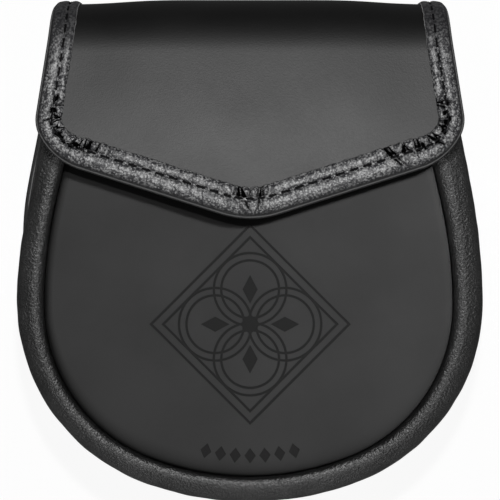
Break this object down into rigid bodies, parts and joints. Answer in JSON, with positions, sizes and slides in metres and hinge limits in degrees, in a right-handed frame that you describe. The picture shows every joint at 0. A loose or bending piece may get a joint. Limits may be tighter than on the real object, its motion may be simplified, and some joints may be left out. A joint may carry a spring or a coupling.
{
  "type": "sporran pouch",
  "caption": "Flat leather day sporran with a U-shaped gusset, a rolled front panel and a bound flap folded over the top to a shallow V.",
  "frame": {"origin": "under the middle of the pouch, on the surface that it lies on", "axes": "+X to the right of the front, +Y up the front to the fold, +Z out of the front panel"},
  "size_m": [0.1648, 0.1778, 0.0471],
  "materials": {
    "back_leather": "matt black leather",
    "gusset_leather": "soft, finely grained black leather",
    "panel_leather": "smooth matt charcoal leather",
    "flap_leather": "smooth satin black leather",
    "binding_leather": "soft pebbled black leather",
    "loop_leather": "plain black strap leather",
    "stud_enamel": "black enamel"
  },
  "bodies": {
    "root": {"back_panel": "back_leather", "gusset": "gusset_leather", "front_panel": "panel_leather", "flap": "flap_leather", "flap_binding": "binding_leather", "strap_loop_left": "loop_leather", "strap_loop_right": "loop_leather", "closure_stud": "stud_enamel"}
  },
  "joints": []
}
